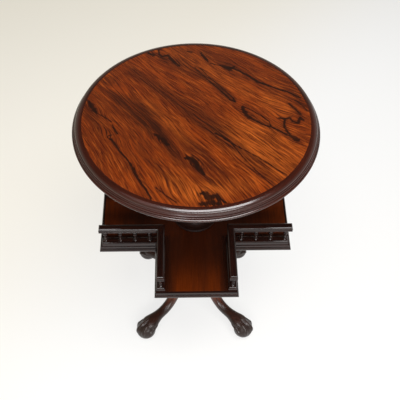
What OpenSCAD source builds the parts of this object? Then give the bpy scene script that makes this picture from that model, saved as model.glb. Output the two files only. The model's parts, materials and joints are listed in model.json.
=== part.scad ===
// Revolving book table. The round top, its column and a galleried cross-shaped undertier
// turn together on a steel pin in a turned pedestal, which stands on four cabriole legs
// with ball-and-claw feet. Millimetres, +Z up, origin on the floor under the pivot.

/* [Whole table] */
// Diameter of the round top over its moulding
top_d = 600; // [540:5:680]
// Height of the top surface above the floor
table_h = 765; // [720:5:820]
// Height of the underside of the undertier above the floor
tier_z = 370; // [350:1:400]

/* [Round top] */
// Thickness of the round panel
panel_t = 20; // [16:1:24]
// Width of the quarter-round part of the edge moulding
ovolo_w = 15; // [12:0.5:20]
// Height of the quarter-round part of the edge moulding
ovolo_h = 9.5; // [7:0.5:12]
// Radius of the two reeds under the quarter-round
reed_r = 2.3; // [1.8:0.1:2.8]
// Radius of the large bead at the bottom of the edge moulding
edge_bead_r = 3.6; // [3:0.1:4.5]
// Width of the lip of the moulding that carries the panel
lip_w = 16; // [10:1:24]
// Side of the square bearer block under the panel
block_w = 180; // [160:5:220]
// Thickness of the bearer block
block_t = 25; // [20:1:32]
// Chamfer along the lower edges of the bearer block
block_chamfer = 8; // [4:1:12]

/* [Undertier] */
// Length of the cross from one open end to the opposite one
tier_span = 516; // [480:2:560]
// Width of each arm of the cross over its nosing
arm_w = 218; // [200:1:240]
// Thickness of the undertier board
tier_t = 21; // [18:0.5:26]
// Width of the nosing around the board
nosing_w = 9; // [8:0.5:14]
// Height of the round part of the nosing
nose_h = 12; // [11:0.5:14]
// How far the round part of the nosing stands out
nose_out = 4; // [3:0.5:5]

/* [Galleries] */
// Width of the plinth that the spindles stand on
plinth_w = 22; // [20:0.5:26]
// Height of the plinth
plinth_h = 13.5; // [12:0.5:22]
// Distance from the outer edge of an arm to the middle of its gallery
gallery_inset = 16.5; // [15:0.5:20]
// Distance from the open end of an arm to the end of its galleries
gallery_short = 8; // [6:1:14]
// Number of spindles in each gallery
spindle_n = 4; // [3:1:5]
// Height of the spindles between plinth and top rail
spindle_h = 40; // [34:1:60]
// Radius of the cup of a spindle
spindle_top_r = 6.5; // [6:0.5:8]
// Radius of the waist of a spindle
spindle_waist_r = 3; // [2.5:0.1:4]
// Radius of the foot of a spindle
spindle_foot_r = 6; // [5:0.5:6.5]
// Radius of the dowel at each end of a spindle
dowel_r = 2.5; // [2:0.1:2.5]
// Length of the dowel at each end of a spindle
dowel_l = 6; // [4:0.5:7]
// Middle of the last spindle from the end of the rail
spindle_end = 10; // [9:0.5:14]
// Middle of the first spindle from the inner corner of the rail
spindle_corner = 30; // [20:1:34]
// Width of the top rail over its bead
rail_w = 20.5; // [18:0.5:22]
// Height of the top rail
rail_h = 17.5; // [16.5:0.5:24]

/* [Column] */
// Radius of the spreading foot of the column
column_foot_r = 60; // [54:1:66]
// Greatest radius of the baluster
column_belly_r = 36; // [30:1:42]
// Radius of the neck above the baluster
column_neck_r = 20; // [18:1:24]
// Radius of the capital under the bearer block
column_cap_r = 42; // [38:1:50]
// Radius of the tenon in the bearer block
tenon_r = 20; // [16:1:24]

/* [Pivot] */
// Radius of the steel pivot pin
pin_r = 9; // [7:0.5:10]
// Depth of the pin in the pedestal
pin_depth = 90; // [70:5:100]
// Running clearance between the pin and its bush, on the radius
pin_play = 0.05; // [0.02:0.01:0.09]
// Wall of the brass bush
bush_wall = 4; // [3:0.5:5]
// Gap between faces that turn past each other
turn_gap = 0.3; // [0.3:0.05:0.6]
// Radius of the two bearing plates
bearing_r = 50; // [46:1:54]
// Thickness of each bearing plate
bearing_t = 2; // [2:0.25:3]
// Radius of the boss under the undertier
boss_r = 70; // [66:1:80]
// Thickness of the boss
boss_t = 16; // [12:1:20]
// Rounding of the lower edge of the boss
boss_round = 5; // [3:0.5:6]
// Radius of the washer under the pivot nut
washer_r = 17; // [15:0.5:18]
// Thickness of the washer
washer_t = 2.5; // [2:0.25:3]
// Radius of the pivot nut over its corners
nut_r = 16; // [14:0.5:17]
// Height of the pivot nut
nut_h = 10; // [8:0.5:12]

/* [Pedestal] */
// Radius of the drum that the legs are jointed into
drum_r = 42; // [40:1:46]
// Distance from the axis to the flat behind each leg
flat_r = 33; // [32:0.5:35]
// Greatest radius of the pedestal's vase
vase_r = 43; // [36:1:48]
// Radius of the neck above the vase
vase_neck_r = 23; // [20:1:26]
// Radius of the head that carries the bearing
head_r = 58; // [56:1:64]

/* [Legs] */
// Distance from the axis to the middle of each ball
leg_reach = 207; // [190:1:230]
// Radius of the ball
ball_r = 28.5; // [25:0.5:30]
// Depth of the flat under each ball
ball_flat = 0.5; // [0.5:0.1:1]
// Height of the middle of the leg where it leaves the pedestal
root_z = 140; // [134:1:160]
// Width of the leg at the pedestal
root_w = 32; // [28:1:36]
// Height of the leg at the pedestal
root_h = 60; // [52:1:64]
// How far the knee runs outward before the leg drops
knee_out = 45; // [38:1:52]
// Distance from the axis to the ankle
ankle_r = 150; // [140:1:160]
// Height of the middle of the ankle
ankle_z = 49; // [44:1:54]
// Width and height of the leg at its ankle
ankle_d = 29; // [24:1:32]
// Greatest width of the palm over the ball
palm_w = 47; // [40:1:50]
// Radius of a toe at its knuckles
toe_r = 6.4; // [5.6:0.2:7]
// Length of the dovetail that holds the leg
dovetail_l = 13; // [10:0.5:14]
// Width of the dovetail at the flat
dovetail_w = 12; // [10:0.5:13]
// Thickness of the iron plate under the pedestal
plate_t = 3; // [2:0.5:4]

/* [Screws] */
// Radius of the shank of the large wood screws
screw_r = 2.5; // [2:0.1:3]
// Radius of the shank of the small wood screws
small_screw_r = 1.75; // [1.4:0.05:1.9]

/* [Hidden] */

$fn = 72;
rosewood = "#6b2f1c";
dark_rosewood = "#2e1711";
steel = "#9a9a98";
iron = "#3c3a38";
brass = "#b08d4a";

// How far a cut passes the face that it opens
cut = 1;

// Round top, from the top surface down
edge_fillet = 1.5;
reed_step = 2.2;
reed_gap = 0.8;
rim_drop = ovolo_h + reed_gap + 4 * reed_r + 2 * edge_bead_r;
rim_w = edge_fillet + ovolo_w + 2 * reed_step + edge_bead_r;
panel_r = top_d / 2 - rim_w;
panel_z = table_h - panel_t;
block_z = panel_z - block_t;

// Undertier and galleries, upwards
arm_half = arm_w / 2;
tier_half = tier_span / 2;
tier_top = tier_z + tier_t;
nose_fillet = 1;
quirk_h = 1.5;
quirk_in = 1.5;
arris_r = 1.2;
gallery_y = arm_half - gallery_inset;
gallery_end = tier_half - gallery_short;
plinth_top = tier_top + plinth_h;
plinth_round = 4;
// Plinth and nosing are one wood this far above and below the board's top
shared_h = 2;
rail_z = plinth_top + spindle_h;
rail_top = rail_z + rail_h;

// Spindle outline, upwards from the plinth and downwards from the rail
spindle_foot_h = 4;
spindle_foot_hollow = 4;
spindle_waist_z = 0.3 * spindle_h;
waist_bead = 2;
waist_bead_out = 1.6;
spindle_flare = 26;
flare_steep = 20;
flare_cup = 17;
cup_rim = 12;
cup_rim_t = 2;
lip_in = 1;
spindle_neck_r = 5;

// Rail section, upwards: fillet, bead, groove and domed cap
rail_fillet_h = 1.5;
rail_fillet_in = 3.5;
rail_bead_h = 5;
rail_groove_h = 1.8;
rail_groove_in = 3;
rail_round = 6;
rail_over = 6;

// Column outline, upwards from the undertier
foot_bead_r = 4;
foot_step = 6;
foot_fillet_h = 2;
foot_cove_h = 28;
column_waist_r = 30;
column_ring_r = 5;
column_neck_in = 3;
waist_neck_h = 4;
belly_rise = 26;
belly_fall = 70;
neck_h = 16;
neck_in = 1;
collar_r = 4;
cap_cove_h = 22;
cap_fillet_h = 2;
cap_fillet_in = 3;
cap_bead_r = 4;
cap_fascia_h = 12;
tenon_short = 1;
cap_h = cap_cove_h + cap_fillet_h + cap_bead_r + cap_fascia_h;
capital_h = 2 * column_ring_r + neck_h + 2 * collar_r + cap_h;

// Pivot, downwards from the undertier and upwards from the bush
boss_z = tier_z - boss_t;
upper_plate_z = boss_z - bearing_t;
lower_plate_z = upper_plate_z - turn_gap - bearing_t;
pedestal_top = lower_plate_z;
bush_r = pin_r + pin_play + bush_wall;
bush_proud = 2;
bush_top = tier_top + bush_proud;
washer_z = bush_top + turn_gap;
nut_z = washer_z + washer_t;
pin_proud = 3;
pin_top = nut_z + nut_h + pin_proud;
pin_base = pedestal_top - pin_depth;
pin_round = 2;
recess_room = 5;
recess_r = max(washer_r, nut_r) + recess_room;
recess_top = pin_top + recess_room;

// Pedestal outline, upwards from the drum and downwards from the bearing
root_low = root_z - root_h / 2;
root_high = root_z + root_h / 2;
drum_low = root_low;
drum_collar_h = 6;
drum_top = root_high + drum_collar_h;
drum_step = 5;
drum_fillet_h = 2;
pedestal_ring_r = 4;
vase_foot_out = 3;
vase_foot_h = 3;
vase_swell = 14;
vase_swell_rise = 9;
vase_fall = 61;
stem_ring_out = 2;
head_cove_h = 36;
head_bead_h = 12;
head_bead_out = 5;
head_neck_h = 4;
head_hollow = 14;

// Dovetails
dovetail_flare = 2;
dovetail_stop = 4;

// Knee and calf: how far the curves' handles lie from the pedestal, the ankle and the outline
knee_lift = 2;
knee_fall = 76;
knee_under = 29;
calf_under = 68;
calf_over_lift = 18;
calf_under_lift = 9;

// Ankle: where the two curves of each outline meet
ankle_run = 20;
ankle_over_lift = 1;
ankle_under_lift = 2;
over_ankle = ankle_z + ankle_d / 2;
under_ankle = ankle_z - ankle_d / 2;
over_meet = [ankle_r - ankle_run, over_ankle + ankle_over_lift];
under_meet = [ankle_r - ankle_run, under_ankle + ankle_under_lift];

// Palm: where it ends on the ball, and the handles before it
ball_z = ball_r - ball_flat;
palm_end = 19;
palm_end_z = 20;
palm_back = 15;
palm_lift = 15.5;
web_back = 38;
web_lift = 12;
web_end = 13;
web_end_z = 4;
palm_widest = 0.88;
palm_end_w = 0.55 * palm_w;
squareness = 0.82;

// Toes: how deep they lie in the ball, and the handles of their curves from the middle of the ball
toe_sink = 1.6;
toe_sides = 8;
toe_steps = 14;
inner_toe = [[-39, 5, 27], [-4, 5, 37], [39, 15, 26], [19, 12, -16]];
outer_toe = [[-39, 11, 20], [-24, 22, 9], [8, 48, 30], [17, 20, -14]];
heel_toe = [[-26, 0, 16], [-34, 0, 4], [-36, 0, -10], [-17, 0, -20]];

// Screws: how far each kind reaches, and where its circle lies
head_ratio = 2;
hub_screw_room = 7;
hub_screw_grip = 12;
hub_screw_ring = boss_r - boss_round - hub_screw_room;
hub_screw_l = boss_t + hub_screw_grip;
column_screw_grip = 9;
column_screw_ring = (recess_r + column_foot_r) / 2 - 1;
column_screw_l = tier_t + column_screw_grip;
bearing_screw_room = 10;
bearing_screw_grip = 11;
bearing_screw_ring = bearing_r - bearing_screw_room;
bearing_screw_l = bearing_t + bearing_screw_grip;
block_screw_room = 16;
block_screw_grip = 13;
block_screw_at = block_w / 2 - block_screw_room;
block_screw_l = block_t + block_screw_grip;
plate_screw_room = 6;
plate_screw_grip = 18;
plate_screw_ring = flat_r - plate_screw_room;
plate_screw_l = plate_t + plate_screw_grip;
plate_arm_w = 22;

// Points of an elliptical arc about (cx, cy)
function arc(cx, cy, rx, ry, a0, a1, n) =
    [for (i = [0 : n]) let (a = a0 + (a1 - a0) * i / n) [cx + rx * cos(a), cy + ry * sin(a)]];

// Point on a cubic curve with the four control points p
function curve_at(p, t) = pow(1 - t, 3) * p[0] + 3 * t * pow(1 - t, 2) * p[1]
    + 3 * t * t * (1 - t) * p[2] + pow(t, 3) * p[3];
function curve(p, n) = [for (i = [0 : n]) curve_at(p, i / n)];

// Value between a and b, plain and eased at both ends
function mix(a, b, t) = a + (b - a) * t;
function ease(t) = t * t * (3 - 2 * t);

module turned(outline) {
    rotate_extrude($fn = 96) polygon(outline);
}

// A profile of [y, z] points run along X
module run(profile, x0, x1) {
    translate([x0, 0, 0]) rotate([90, 0, 90]) linear_extrude(x1 - x0) polygon(profile);
}

// A plan outline raised from z0 to z1
module prism(plan, z0, z1) {
    translate([0, 0, z0]) linear_extrude(z1 - z0) polygon(plan);
}

module ring_of(count, radius, start) {
    for (i = [0 : count - 1]) {
        rotate([0, 0, start + 360 * i / count]) translate([radius, 0, 0]) children();
    }
}

// Wood screw with its right-angled countersunk head at the origin, pointing up, without its slot
module screw_body(r, length) {
    head_h = r * (head_ratio - 1);
    point_h = 2 * r;
    cylinder(h = head_h, r1 = r * head_ratio, r2 = r, $fn = 24);
    cylinder(h = length - point_h, r = r, $fn = 24);
    translate([0, 0, length - point_h]) cylinder(h = point_h, r1 = r, r2 = r * 0.2, $fn = 24);
}

// Hole for it, open past the face that the head is flush with
module screw_hole(r, length) {
    screw_body(r, length);
    translate([0, 0, -cut]) cylinder(h = cut, r = r * head_ratio, $fn = 24);
}

module screw(r, length) {
    slot_w = r * 0.4;
    slot_h = r * 0.5;
    difference() {
        screw_body(r, length);
        translate([-2 * r * head_ratio, -slot_w / 2, -slot_h]) cube([4 * r * head_ratio, slot_w, 2 * slot_h]);
    }
}

// Stack of rings of equal length joined into one closed skin
module skin(rings) {
    n = len(rings[0]);
    m = len(rings);
    side = [
        for (i = [0 : m - 2], j = [0 : n - 1]) let (k = (j + 1) % n, a = i * n, b = a + n)
            each [[a + j, a + k, b + k], [a + j, b + k, b + j]]
    ];
    first = [[for (j = [n - 1 : -1 : 0]) j]];
    last = [[for (j = [0 : n - 1]) (m - 1) * n + j]];
    polyhedron(points = [for (r = rings) each r], faces = concat(side, first, last), convexity = 6);
}

// Round top

// Edge moulding, outwards from the panel and downwards from the top: quarter-round, two reeds, bead
module tabletop_moulding() {
    reed_x = panel_r + edge_fillet + ovolo_w;
    reed_z = table_h - ovolo_h - reed_gap;
    bead_x = reed_x + 2 * reed_step;
    bead_z = reed_z - 4 * reed_r - edge_bead_r;
    low = table_h - rim_drop;
    color(dark_rosewood) turned(concat(
        [[panel_r - lip_w, low], [panel_r - lip_w, panel_z], [panel_r, panel_z], [panel_r, table_h]],
        arc(panel_r + edge_fillet, table_h - ovolo_h, ovolo_w, ovolo_h, 90, 0, 10),
        arc(reed_x, reed_z - reed_r, reed_r, reed_r, 90, -90, 8),
        arc(reed_x + reed_step, reed_z - 3 * reed_r, reed_r, reed_r, 90, -90, 8),
        arc(bead_x, bead_z, edge_bead_r, edge_bead_r, 90, -90, 10)
    ));
}

module top_screw_places() {
    for (x = [-1 : 1], y = [-1 : 1]) {
        if (x != 0 || y != 0) {
            translate([x * block_screw_at, y * block_screw_at, block_z]) children();
        }
    }
}

module tabletop_panel() {
    color(rosewood) difference() {
        translate([0, 0, panel_z]) cylinder(h = panel_t, r = panel_r, $fn = 128);
        top_screw_places() screw_hole(screw_r, block_screw_l);
    }
}

// Square bearer block, chamfered below, bored for the tenon of the column
module top_block() {
    h = block_w / 2;
    section = [
        [-h, panel_z], [-h, block_z + block_chamfer], [-h + block_chamfer, block_z],
        [h - block_chamfer, block_z], [h, block_z + block_chamfer], [h, panel_z]
    ];
    color(dark_rosewood) difference() {
        intersection() {
            run(section, -h, h);
            rotate([0, 0, 90]) run(section, -h, h);
        }
        translate([0, 0, block_z - cut]) cylinder(h = block_t + 2 * cut, r = tenon_r);
        top_screw_places() screw_hole(screw_r, block_screw_l);
    }
}

module top_screws() {
    color(brass) top_screw_places() screw(screw_r, block_screw_l);
}

// Column between undertier and top

module column() {
    step_r = column_foot_r - foot_step;
    cove_z = tier_top + 2 * foot_bead_r + foot_fillet_h;
    ring_z = cove_z + foot_cove_h;
    shoulder_r = column_waist_r - column_neck_in;
    shoulder_z = ring_z + 2 * column_ring_r + waist_neck_h;
    neck_z = block_z - capital_h;
    collar_z = neck_z + 2 * column_ring_r + neck_h;
    cap_cove_z = collar_z + 2 * collar_r;
    cap_in_r = column_cap_r - cap_fillet_in;
    cap_bead_z = cap_cove_z + cap_cove_h + cap_fillet_h;
    cap_cove_w = cap_in_r - column_neck_r - collar_r / 2;
    foot_r = column_foot_r - foot_bead_r;
    tenon_z = panel_z - tenon_short;
    outline = concat(
        [[0, tier_top]],
        arc(foot_r, tier_top + foot_bead_r, foot_bead_r, foot_bead_r, -90, 90, 8),
        [[step_r, cove_z - foot_fillet_h], [step_r, cove_z]],
        arc(step_r, ring_z, step_r - column_waist_r, foot_cove_h, 270, 180, 10),
        arc(column_waist_r, ring_z + column_ring_r, column_ring_r, column_ring_r, -90, 90, 8),
        [[shoulder_r, shoulder_z - waist_neck_h], [shoulder_r, shoulder_z]],
        curve([
            [shoulder_r, shoulder_z], [column_belly_r + column_ring_r, shoulder_z + belly_rise],
            [column_belly_r, shoulder_z + belly_fall], [column_neck_r, neck_z]
        ], 20),
        arc(column_neck_r, neck_z + column_ring_r, column_ring_r, column_ring_r, -90, 90, 8),
        [[column_neck_r - neck_in, collar_z - neck_h], [column_neck_r - neck_in, collar_z]],
        arc(column_neck_r + collar_r / 2, collar_z + collar_r, collar_r, collar_r, -90, 90, 8),
        arc(cap_in_r, cap_cove_z, cap_cove_w, cap_cove_h, 180, 90, 8),
        [[cap_in_r, cap_bead_z]],
        arc(column_cap_r - cap_bead_r, cap_bead_z + cap_bead_r, cap_bead_r, cap_bead_r, -90, 0, 4),
        [[column_cap_r, block_z], [tenon_r, block_z], [tenon_r, tenon_z], [0, tenon_z]]
    );
    color(dark_rosewood) difference() {
        turned(outline);
        translate([0, 0, tier_top - cut]) cylinder(h = recess_top - tier_top + cut, r = recess_r);
        ring_of(4, column_screw_ring, 45) translate([0, 0, tier_z]) screw_hole(screw_r, column_screw_l);
    }
}

module column_screws() {
    color(steel) ring_of(4, column_screw_ring, 45) translate([0, 0, tier_z])
        screw(screw_r, column_screw_l);
}

// Undertier

module undertier() {
    a = arm_half - nosing_w;
    b = tier_half - nosing_w;
    cross = [
        [a, a], [a, b], [-a, b], [-a, a], [-b, a], [-b, -a],
        [-a, -a], [-a, -b], [a, -b], [a, -a], [b, -a], [b, a]
    ];
    color(rosewood) difference() {
        prism(cross, tier_z, tier_top);
        translate([0, 0, tier_z - cut]) cylinder(h = tier_t + 2 * cut, r = bush_r);
        ring_of(4, column_screw_ring, 45) translate([0, 0, tier_z]) screw_hole(screw_r, column_screw_l);
        ring_of(4, hub_screw_ring, 0) translate([0, 0, boss_z]) screw_hole(screw_r, hub_screw_l);
    }
}

// Nosing section against an edge at y = e: fillet, round, quirk and a flat with a soft arris
quirk_z = tier_z + nose_fillet + nose_h;
function nosing_section(e) = let (flat = e - nose_out + arris_r / 2) concat(
    [[e - nosing_w, tier_z], [e - nose_out, tier_z]],
    arc(e - nose_out, tier_z + nose_fillet + nose_h / 2, nose_out, nose_h / 2, -90, 90, 10),
    [[flat - quirk_in, quirk_z], [flat - quirk_in, quirk_z + quirk_h], [flat, quirk_z + quirk_h]],
    arc(flat - arris_r, tier_top - arris_r, arris_r, arris_r, 0, 90, 4),
    [[e - nosing_w, tier_top]]
);

// Nosing across the open end of the arm that lies along +X, mitred at both corners
module end_nosing(turn) {
    plan = [
        [tier_half, -arm_half], [tier_half, arm_half],
        [tier_half - nosing_w, arm_half - nosing_w], [tier_half - nosing_w, nosing_w - arm_half]
    ];
    color(dark_rosewood) rotate([0, 0, 90 * turn]) intersection() {
        prism(plan, tier_z, tier_top);
        rotate([0, 0, -90]) run(nosing_section(tier_half), -arm_half, arm_half);
    }
}

// Galleries. Each lies along +X on the +Y side of its arm before it is turned into place
module on_gallery(turn, side) {
    rotate([0, 0, 90 * turn]) {
        if (side > 0) {
            children();
        } else {
            mirror([0, 1, 0]) children();
        }
    }
}

// Plan of a run that starts on the inner mitre and ends square at x1
function mitred_plan(y0, y1, x1) = [[y0, y0], [x1, y0], [x1, y1], [y1, y1]];

// Outer half of a section about the middle of its gallery, made whole by its mirror image
function whole(half) = concat(
    [for (q = half) [gallery_y + q[0], q[1]]],
    [for (i = [len(half) - 1 : -1 : 0]) if (half[i][0] > 0) [gallery_y - half[i][0], half[i][1]]]
);

// A strip of that section along the gallery, mitred at the inner corner, and at its open end, x1,
// shaped to the same section across
module strip(half, w, x1) {
    h = w / 2;
    end = x1 - h;
    start = gallery_y - h;
    low = half[0][1];
    high = half[len(half) - 1][1];
    across = concat([[start, low]], [for (q = half) [end + q[0], q[1]]], [[start, high]]);
    intersection() {
        prism(mitred_plan(start, gallery_y + h, x1), low, high);
        run(whole(half), start, x1);
        translate([0, gallery_y + h, 0]) rotate([90, 0, 0]) linear_extrude(w) polygon(across);
    }
}

plinth_half = let (h = plinth_w / 2, r = plinth_round) concat(
    [[h, tier_top]], arc(h - r, plinth_top - r, r, r, 0, 90, 6), [[0, plinth_top]]
);

// Spindle places along a gallery, evenly from the inner corner to the open end
spindle_first = gallery_y + spindle_corner;
spindle_last = gallery_end - spindle_end;
function spindle_x(i) = mix(spindle_first, spindle_last, i / (spindle_n - 1));

module spindle_places(z) {
    for (i = [0 : spindle_n - 1]) {
        translate([spindle_x(i), gallery_y, z]) children();
    }
}

// Nosing and plinth worked on one strip that caps the long edge of the board
module side_moulding(turn, side) {
    e = arm_half;
    inner = e - nosing_w;
    nosing_plan = [[inner, inner], [tier_half - nosing_w, inner], [tier_half, e], [e, e]];
    shared_plan = mitred_plan(inner, gallery_y + plinth_w / 2, spindle_last);
    color(dark_rosewood) on_gallery(turn, side) difference() {
        union() {
            intersection() {
                prism(nosing_plan, tier_z, tier_top);
                run(nosing_section(e), inner, tier_half);
            }
            strip(plinth_half, plinth_w, gallery_end);
            prism(shared_plan, tier_top - shared_h, tier_top + shared_h);
        }
        spindle_places(plinth_top - dowel_l) cylinder(h = dowel_l + cut, r = dowel_r, $fn = 24);
    }
}

// Foot, hollow waist with a bead, and a cup under the neck, with a dowel at each end
module spindle() {
    foot_r = spindle_foot_h / 2;
    flat_foot_r = spindle_foot_r - foot_r;
    top_z = spindle_h + dowel_l;
    hollow_z = spindle_foot_h + spindle_foot_hollow;
    bead_low = spindle_waist_z - waist_bead;
    neck_z = spindle_h - cup_rim + cup_rim_t;
    outline = concat(
        [[0, -dowel_l], [dowel_r, -dowel_l], [dowel_r, 0], [flat_foot_r, 0]],
        arc(flat_foot_r, foot_r, foot_r, foot_r, -60, 90, 5),
        curve([
            [flat_foot_r, spindle_foot_h], [spindle_waist_r, spindle_foot_h],
            [spindle_waist_r, hollow_z], [spindle_waist_r, bead_low]
        ], 5),
        arc(spindle_waist_r, spindle_waist_z, waist_bead_out, waist_bead, -90, 90, 4),
        curve([
            [spindle_waist_r, spindle_h - spindle_flare], [spindle_waist_r, spindle_h - flare_steep],
            [spindle_top_r - lip_in, spindle_h - flare_cup], [spindle_top_r, spindle_h - cup_rim]
        ], 6),
        [[spindle_top_r, neck_z], [spindle_neck_r, neck_z], [spindle_neck_r, spindle_h]],
        [[dowel_r, spindle_h], [dowel_r, top_z], [0, top_z]]
    );
    rotate_extrude($fn = 32) polygon(outline);
}

module spindles(turn, side) {
    color(dark_rosewood) on_gallery(turn, side) spindle_places(plinth_top) spindle();
}

// Outer half of the rail section: underside, bead, groove, and a flat cap with round edges. The
// rails run out past the plinths' open ends
rail_half = rail_w / 2;
rail_bead_z = rail_z + rail_fillet_h;
rail_bead_r = rail_bead_h / 2;
rail_groove_z = rail_bead_z + rail_bead_h;
rail_cap_z = rail_groove_z + rail_groove_h;
rail_profile = concat(
    [[rail_half - rail_fillet_in, rail_z]],
    arc(rail_half - rail_bead_r, rail_bead_z + rail_bead_r, rail_bead_r, rail_bead_r, -90, 90, 8),
    [[rail_half - rail_groove_in, rail_groove_z], [rail_half - rail_groove_in, rail_cap_z]],
    [[rail_half, rail_cap_z]],
    arc(rail_half - rail_round, rail_top - rail_round, rail_round, rail_round, 0, 90, 8),
    [[0, rail_top]]
);

module top_rail(turn, side) {
    color(dark_rosewood) on_gallery(turn, side) difference() {
        strip(rail_profile, rail_w, gallery_end + rail_over);
        spindle_places(rail_z - cut) cylinder(h = dowel_l + cut, r = dowel_r, $fn = 24);
    }
}

// Pivot

module hub_boss() {
    color(dark_rosewood) difference() {
        turned(concat(
            [[0, boss_z]],
            arc(boss_r - boss_round, boss_z + boss_round, boss_round, boss_round, -90, 0, 6),
            [[boss_r, tier_z], [0, tier_z]]
        ));
        translate([0, 0, boss_z - cut]) cylinder(h = boss_t + 2 * cut, r = bush_r);
        ring_of(4, hub_screw_ring, 0) translate([0, 0, boss_z]) screw_hole(screw_r, hub_screw_l);
        ring_of(4, bearing_screw_ring, 45) translate([0, 0, upper_plate_z])
            screw_hole(small_screw_r, bearing_screw_l);
    }
}

module hub_screws() {
    color(steel) ring_of(4, hub_screw_ring, 0) translate([0, 0, boss_z]) screw(screw_r, hub_screw_l);
}

module bearing_upper() {
    color(brass) difference() {
        translate([0, 0, upper_plate_z]) cylinder(h = bearing_t, r = bearing_r);
        translate([0, 0, upper_plate_z - cut]) cylinder(h = bearing_t + 2 * cut, r = bush_r);
        ring_of(4, bearing_screw_ring, 45) translate([0, 0, upper_plate_z])
            screw_hole(small_screw_r, bearing_screw_l);
    }
}

module bearing_upper_screws() {
    color(brass) ring_of(4, bearing_screw_ring, 45) translate([0, 0, upper_plate_z])
        screw(small_screw_r, bearing_screw_l);
}

module pivot_bush() {
    color(brass) difference() {
        translate([0, 0, upper_plate_z]) cylinder(h = bush_top - upper_plate_z, r = bush_r);
        translate([0, 0, upper_plate_z - cut])
            cylinder(h = bush_top - upper_plate_z + 2 * cut, r = pin_r + pin_play);
    }
}

module bearing_lower() {
    color(iron) difference() {
        translate([0, 0, lower_plate_z]) cylinder(h = bearing_t, r = bearing_r);
        translate([0, 0, lower_plate_z - cut]) cylinder(h = bearing_t + 2 * cut, r = pin_r);
        lower_screw_places() screw_hole(small_screw_r, bearing_screw_l);
    }
}

// The lower plate's screws point down from its upper face
module lower_screw_places() {
    ring_of(4, bearing_screw_ring, 0) translate([0, 0, lower_plate_z + bearing_t])
        mirror([0, 0, 1]) children();
}

module bearing_lower_screws() {
    color(iron) lower_screw_places() screw(small_screw_r, bearing_screw_l);
}

module pivot_pin() {
    color(steel) turned(concat(
        [[0, pin_base], [pin_r - pin_round, pin_base], [pin_r, pin_base + pin_round]],
        arc(pin_r - pin_round, pin_top - pin_round, pin_round, pin_round, 0, 90, 5),
        [[0, pin_top]]
    ));
}

module pivot_washer() {
    color(steel) difference() {
        translate([0, 0, washer_z]) cylinder(h = washer_t, r = washer_r);
        translate([0, 0, washer_z - cut]) cylinder(h = washer_t + 2 * cut, r = pin_r);
    }
}

module pivot_nut() {
    color(steel) difference() {
        translate([0, 0, nut_z]) cylinder(h = nut_h, r = nut_r, $fn = 6);
        translate([0, 0, nut_z - cut]) cylinder(h = nut_h + 2 * cut, r = pin_r);
    }
}

// Pedestal

// Plan of a dovetail, outwards from its inner end to the flat on the drum
dovetail_plan = [
    [flat_r - dovetail_l, -dovetail_w / 2 - dovetail_flare], [flat_r, -dovetail_w / 2],
    [flat_r, dovetail_w / 2], [flat_r - dovetail_l, dovetail_w / 2 + dovetail_flare]
];

module dovetail() {
    prism(dovetail_plan, root_low, root_high - dovetail_stop);
}

module pedestal() {
    collar_r = drum_r - drum_step;
    collar_z = drum_top + 2 * drum_fillet_h;
    vase_z = collar_z + 2 * pedestal_ring_r + vase_foot_h;
    vase_foot_r = vase_neck_r + vase_foot_out;
    stem_z = pedestal_top - vase_fall;
    stem_ring_z = stem_z + 2 * pedestal_ring_r;
    head_z = pedestal_top - head_bead_h;
    head_neck_r = head_r - head_neck_h;
    ring_r = pedestal_ring_r;
    outline = concat(
        [[0, drum_low], [drum_r, drum_low], [drum_r, drum_top]],
        [[collar_r, drum_top + drum_fillet_h], [collar_r, collar_z]],
        arc(collar_r - ring_r / 2, collar_z + ring_r, ring_r, ring_r, -90, 90, 8),
        [[vase_foot_r, vase_z - vase_foot_h]],
        curve([
            [vase_foot_r, vase_z], [vase_r + vase_swell, vase_z + vase_swell_rise],
            [vase_r, vase_z + vase_fall], [vase_neck_r, stem_z]
        ], 18),
        arc(vase_neck_r + stem_ring_out, stem_z + ring_r, ring_r, ring_r, -90, 90, 8),
        curve([
            [vase_neck_r, stem_ring_z], [vase_neck_r, stem_ring_z + head_cove_h / 2],
            [head_r - head_hollow, head_z - head_cove_h / 2], [head_neck_r, head_z - head_neck_h]
        ], 8),
        [[head_neck_r, head_z]],
        arc(head_r - head_bead_out, head_z + head_bead_h / 2, head_bead_out, head_bead_h / 2, -90, 90, 8),
        [[0, pedestal_top]]
    );
    color(dark_rosewood) difference() {
        turned(outline);
        for (a = [45 : 90 : 315]) {
            rotate([0, 0, a]) {
                translate([flat_r, -drum_r, drum_low - cut])
                    cube([drum_r, 2 * drum_r, root_high - drum_low + cut]);
                translate([0, 0, -cut]) dovetail();
                dovetail();
            }
        }
        translate([0, 0, pin_base]) cylinder(h = pin_depth + cut, r = pin_r);
        lower_screw_places() screw_hole(small_screw_r, bearing_screw_l);
    }
}

// Legs

// Upper and lower outline of the leg in its own upright plane, each as two curves that meet at
// the ankle: from the pedestal over the knee, then over the palm onto the ball
leg_over = [
    [
        [flat_r, root_high], [flat_r + knee_out, root_high + knee_lift],
        [ankle_r - knee_fall, over_ankle + calf_over_lift], over_meet
    ],
    [
        over_meet, [ankle_r, over_ankle - ankle_d / 4],
        [leg_reach - palm_back, ball_z + ball_r + palm_lift], [leg_reach + palm_end, ball_z + palm_end_z]
    ]
];
leg_under = [
    [
        [flat_r, root_low], [flat_r + knee_under, root_low - knee_lift],
        [ankle_r - calf_under, under_ankle + calf_under_lift], under_meet
    ],
    [
        under_meet, [ankle_r, under_ankle],
        [leg_reach - web_back, ball_z + web_lift], [leg_reach - web_end, ball_z + web_end_z]
    ]
];
function outline_at(o, s) = s < 0.5 ? curve_at(o[0], 2 * s) : curve_at(o[1], 2 * s - 1);

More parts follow.
